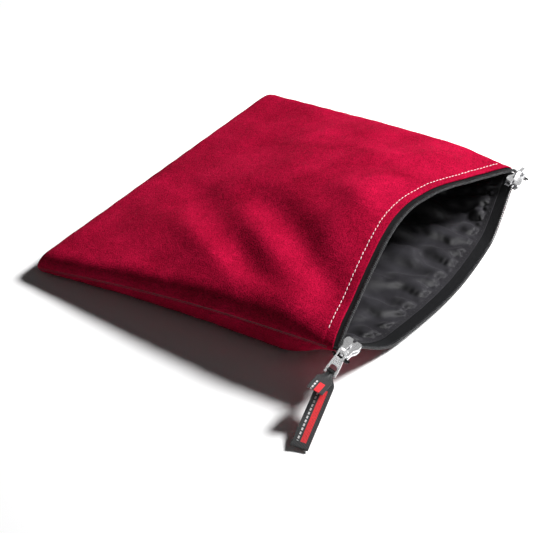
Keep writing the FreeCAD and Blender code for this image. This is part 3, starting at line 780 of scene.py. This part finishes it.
def stitches(name, node, surface, follow, a, layer, thread, mat, out):
    """A row of stitches that each dip into the cloth at both ends; thread is (pitch, length, radius)."""
    pitch, dash, radius = thread
    shares = arc_samples(surface, a, layer, STITCH_SHARE, pitch)
    steps = np.gradient(shares)
    batch = Batch()
    for k, s0 in enumerate(shares):
        t = np.linspace(-0.5, 0.5, 7)
        s = s0 + t * steps[k] * dash / pitch
        aa = a + 0.10 * math.sin(k * 2.3) + t * 0.25
        path = surface(s, aa, layer)
        path[:, 2] += out * (radius * 0.9 * np.cos(np.pi * t) - 0.12)
        r = radius * (0.72 + 0.28 * np.cos(np.pi * t))
        pts, faces = tube(path, r, 8)
        batch.add(pts, faces, np.repeat(follow(s, np.full_like(s, a)), 8))
    obj, weights = batch.build(name, mat)
    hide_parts(node)
    lips_follow(obj, weights)
    return obj


tape("tape_upper", "zip_tape_top", top_surface, close_top, -1)
tape("tape_lower", "zip_tape_bottom", low_surface, close_low, 1)
coil("coil_upper", "zip_coil_top", top_surface, close_top)
coil("coil_lower", "zip_coil_bottom", low_surface, close_low)
TOPSTITCH, LINING_THREAD = (3.4, 2.5, 0.27), (3.2, 1.9, 0.42)
stitches("stitches_upper", "topstitch_top", top_surface, close_top,
         STITCH, 0.0, TOPSTITCH, WHITE_THREAD, 1)
stitches("stitches_lower", "topstitch_bottom", low_surface, close_low,
         STITCH, 0.0, TOPSTITCH, WHITE_THREAD, -1)
stitches("lining_stitches_upper", "lining_stitch_top", lining_top_surface, close_top,
         LINING_STITCH, LINING_T, LINING_THREAD, BLACK_THREAD, -1)
stitches("lining_stitches_lower", "lining_stitch_bottom", lining_low_surface, close_low,
         LINING_STITCH, LINING_T, LINING_THREAD, BLACK_THREAD, 1)


# ---- seams ----

SEAM_PITCH, SEAM_DASH, SEAM_RADIUS = 3.4, 2.5, 0.27


def seam(name, node, length, first, place):
    """A hidden seam's thread, in stitches; place gives a point on the seam for how far in and along it is."""
    batch = Batch()
    for k in range(int(length / SEAM_PITCH)):
        t = np.linspace(-0.5, 0.5, 5)
        path = place(0.9 - 0.35 * np.cos(np.pi * t), first + (k + 0.5) * SEAM_PITCH + t * SEAM_DASH)
        pts, faces = tube(np.stack(path, 1), SEAM_RADIUS, 6)
        batch.add(pts, faces)
    obj, _ = batch.build(name, RED_THREAD)
    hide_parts(node)
    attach(obj, "pouch")


def side_seam(side):
    return lambda depth, a: (side * (half_width(a / DEPTH) - depth), a - DEPTH / 2, seam_z(a / DEPTH))


seam("seam_stitches_near", "seam_thread_near", DEPTH - 16, 12, side_seam(-1))
seam("seam_stitches_far", "seam_thread_far", DEPTH - 16, 12, side_seam(1))
seam("seam_stitches_end", "seam_thread_end", CLOSED - 8, -CLOSED / 2 + 4,
     lambda depth, x: (x, DEPTH / 2 - depth, np.full(5, END_Z)))


# ---- CAD nodes that stay, with rounded edges and real materials ----

def dress(node, mat, width=0.0, segments=3):
    obj = frame["nodes"][node]
    for slot in obj.material_slots:
        slot.material = mat
    if not obj.material_slots:
        obj.data.materials.append(mat)
    if width:
        bevel = obj.modifiers.new("edge", "BEVEL")
        bevel.width = width * MM
        bevel.segments = segments
        bevel.limit_method = "ANGLE"
        bevel.angle_limit = math.radians(28)
        bevel.harden_normals = False


for side in ("near", "far"):
    dress(f"slider_{side}_body", CHROME, 0.28)
    dress(f"slider_{side}_bridge", CHROME, 0.3)
    dress(f"pull_tab_{side}", CHROME, 0.25)
    dress(f"zip_end_{side}", TAPE, 0.12, 2)
    dress(f"bartack_{side}", BLACK_THREAD, 0.1, 2)


# ---- ribbon ----

RIBBON_PIVOT = np.array(RIBBON_JOINT["pos_m"]) / MM
RIBBON_LENGTH, RIBBON_WIDTH, RIBBON_T = 50.0, 9.8, 1.0
STUB_LENGTH, STUB_ANGLE, NECK_WIDTH, RIBBON_TURN = 20.0, math.radians(25), 4.3, 15.0


def ribbon_axes():
    turn = math.radians(RIBBON_TURN)
    outwards = np.array([-1.0, 0, 0])
    steep = np.cross(outwards, LATERAL)
    steep = -steep if steep[2] > 0 else steep
    low = abs(LATERAL[2]) * RIBBON_WIDTH / 2 + RIBBON_T / 2 + GAP
    fall = RIBBON_PIVOT[2] - low - LATERAL[2] * RIBBON_LENGTH * math.sin(turn)
    slope = math.asin(fall / (RIBBON_LENGTH * math.cos(turn) * -steep[2]))
    along = outwards * math.cos(slope) + steep * math.sin(slope)
    return along, LATERAL, np.cross(along, LATERAL)


ex, ey, ez = ribbon_axes()


def ribbon_strip(batch, uvs, centre, width_at, turn_deg, thickness):
    """A strip along centre (n x 2: along, up), in the ribbon's own frame."""
    t = math.radians(turn_deg)
    n = len(centre)
    across = np.linspace(-0.5, 0.5, 13)
    run = np.concatenate([[0], np.cumsum(np.hypot(*np.diff(centre, axis=0).T))])
    tang = np.gradient(centre, axis=0)
    tang /= np.linalg.norm(tang, axis=1, keepdims=True)
    grid = np.zeros((n, 13, 3))
    for i in range(n):
        w = width_at(run[i])
        for j, c in enumerate(across):
            lx, ly = centre[i, 0], c * w
            crease = (1 - w / RIBBON_WIDTH) * 1.1 * math.cos(c * 9.0)
            cup = 0.35 * math.sin(run[i] / 11.0) * (c * 2) ** 2
            up = centre[i, 1] + crease + cup
            px = lx * math.cos(t) + ly * math.sin(t)
            py = -lx * math.sin(t) + ly * math.cos(t)
            grid[i, j] = RIBBON_PIVOT + ex * px + ey * py + ez * up
    grid[..., 2] = np.maximum(grid[..., 2], 0.25 + thickness)
    points, faces, source = thick_sheet(grid, thickness, 1, lambda i, j: 1.0)
    u = np.repeat(run, 13)
    v = np.tile((across + 0.5) * RIBBON_WIDTH, n)
    batch.add(points, faces)
    uvs.append(np.stack([u[source], v[source]], 1))


def ribbon_width(run):
    """Gathered at the pull's bar, then opening out to its full width."""
    return NECK_WIDTH + (RIBBON_WIDTH - NECK_WIDTH) * float(smooth(np.array((run - 1.5) / 6.5)))


batch, uvs = Batch(), []
x = np.linspace(1.1, RIBBON_LENGTH, 70)
sag = 0.5 * np.sin((x - 2) / 9.5) * smooth((x - 4) / 10) * (1 - 0.6 * smooth((x - 34) / 14))
ribbon_strip(batch, uvs, np.stack([x, 0.35 + sag], 1), ribbon_width, RIBBON_TURN, 0.55)
ribbon_strip(batch, uvs, np.stack([x * 0.985 + 0.4, -0.35 + sag], 1), ribbon_width, RIBBON_TURN, 0.5)
x = np.linspace(1.1, STUB_LENGTH, 30)
stub = np.stack([x * math.cos(STUB_ANGLE), -(x - 1.1) * math.sin(STUB_ANGLE)], 1)
ribbon_strip(batch, uvs, stub, ribbon_width, 4.0, 0.55)
ring = np.linspace(0, 2 * np.pi, 40)
across = np.linspace(-0.5, 0.5, 9) * 4.5
wrap = np.zeros((40, 9, 3))
for i, q in enumerate(ring):
    for j, c in enumerate(across):
        r = 1.35 + 0.08 * math.sin(j * 1.9)
        wrap[i, j] = RIBBON_PIVOT + ex * r * math.cos(q) + ez * r * math.sin(q) + ey * c
points, faces, source = thick_sheet(wrap, 0.6, 1, lambda i, j: 0.8)
batch.add(points, faces)
uvs.append(np.stack([np.zeros(len(source)), np.tile(np.linspace(0, 1, 9), 40)[source] * 4], 1))
ribbon = make_object("ribbon_loop", np.concatenate(batch.points), batch.faces, RIBBON, np.concatenate(uvs))
fix_normals(ribbon)
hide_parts("ribbon_pull")
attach(ribbon, "ribbon")


# ---- floor, light and camera ----

bpy.ops.mesh.primitive_plane_add(size=8, location=(0, 0, 0))
floor = bpy.context.object
floor.name = "floor"
mat, nodes, links, shader = material("floor")
shader.inputs["Base Color"].default_value = (0.93, 0.93, 0.93, 1)
shader.inputs["Roughness"].default_value = 0.9
shader.inputs["Specular IOR Level"].default_value = 0.1
floor.data.materials.append(mat)

world = bpy.data.worlds.new("studio")
bpy.context.scene.world = world
world.use_nodes = True
world.node_tree.nodes["Background"].inputs["Color"].default_value = (1, 1, 1, 1)
world.node_tree.nodes["Background"].inputs["Strength"].default_value = 0.025
bpy.context.scene.view_settings.view_transform = "Standard"


def area_light(name, position, target, size, power, diffuse=True, glossy=True):
    light = bpy.data.lights.new(name, "AREA")
    light.shape = "DISK"
    light.size = size
    light.energy = power
    obj = bpy.data.objects.new(name, light)
    bpy.context.scene.collection.objects.link(obj)
    obj.location = position
    obj.rotation_euler = (Vector(target) - Vector(position)).to_track_quat("-Z", "Y").to_euler()
    obj.visible_diffuse = diffuse
    obj.visible_glossy = glossy


KEY, KEY_TARGET = (0.70, -0.52, 0.78), (0, -0.02, 0.02)
area_light("key", KEY, KEY_TARGET, 0.30, 29.0, glossy=False)
area_light("key_gloss", KEY, KEY_TARGET, 0.30, 4.5)
area_light("card", (-0.30, -0.60, 0.95), (0, -0.05, 0.02), 0.9, 5.0, diffuse=False)
area_light("card_camera", (-0.78, -0.36, 0.95), (0, -0.05, 0.02), 1.0, 8.0, diffuse=False)
area_light("fill", (-0.5, -0.9, 0.6), (0, -0.05, 0.02), 0.6, 0.35, glossy=False)

CAMERA_DISTANCE, FIELD_OF_VIEW = 0.868, 22.7
azimuth, elevation = math.radians(-55.3), math.radians(36.9)
target = Vector((-0.0394, -0.00885, 0.0))
level = math.cos(elevation)
back = Vector((math.sin(azimuth) * level, -math.cos(azimuth) * level, math.sin(elevation)))
camera = bpy.data.cameras.new("camera")
camera.sensor_width = 36.0
camera.lens = camera.sensor_width / 2 / math.tan(math.radians(FIELD_OF_VIEW) / 2)
camera_object = bpy.data.objects.new("camera", camera)
bpy.context.scene.collection.objects.link(camera_object)
camera_object.location = target + back * CAMERA_DISTANCE
camera_object.rotation_euler = (-back).to_track_quat("-Z", "Y").to_euler()
bpy.context.scene.camera = camera_object
